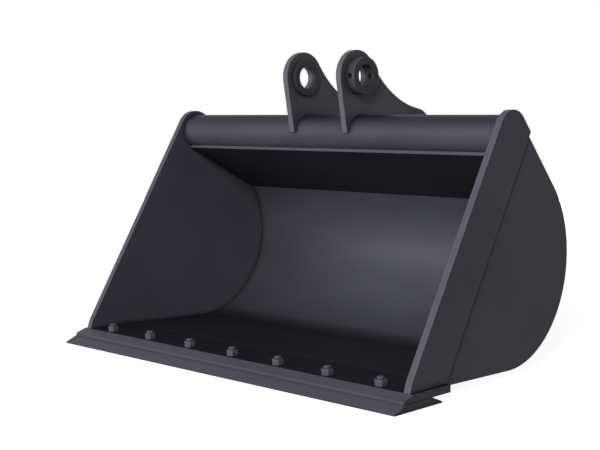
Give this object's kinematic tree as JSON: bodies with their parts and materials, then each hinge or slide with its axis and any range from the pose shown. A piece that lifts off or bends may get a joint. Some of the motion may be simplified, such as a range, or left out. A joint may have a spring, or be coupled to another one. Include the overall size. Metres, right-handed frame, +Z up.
{
  "type": "excavator ditch cleaning bucket",
  "caption": "Wide, shallow welded bucket for clearing ditches, pinned between its ears to an excavator's dipper and link, with a torsion tube across the top and a bolted reversible blade.",
  "frame": {"origin": "On the axis of the dipper pin's bore, midway between the inner faces that the dipper's nose fits between", "axes": "+X across the bucket, along both pins, to the side with the collars; +Y from the open mouth towards the heel; +Z up, square to the lip plate"},
  "size_m": [0.815, 0.5135, 0.545],
  "materials": {
    "tube_paint": "satin",
    "shell_paint": "satin",
    "side_paint": "satin",
    "edge_paint": "satin",
    "fastener_paint": "satin",
    "ear_paint": "satin",
    "boss_paint": "satin"
  },
  "bodies": {
    "root": {"torque_tube": "tube_paint", "wrapper_shell": "shell_paint", "box_plate": "shell_paint", "left_side_plate": "side_paint", "right_side_plate": "side_paint", "left_side_strip": "side_paint", "right_side_strip": "side_paint", "lip_plate": "edge_paint", "reversible_blade": "edge_paint", "blade_bolts": "fastener_paint", "blade_nuts": "fastener_paint", "left_ear": "ear_paint", "right_ear": "ear_paint", "left_dipper_pad": "boss_paint", "right_dipper_collar": "boss_paint", "left_link_pad": "boss_paint", "right_link_collar": "boss_paint"}
  },
  "joints": []
}
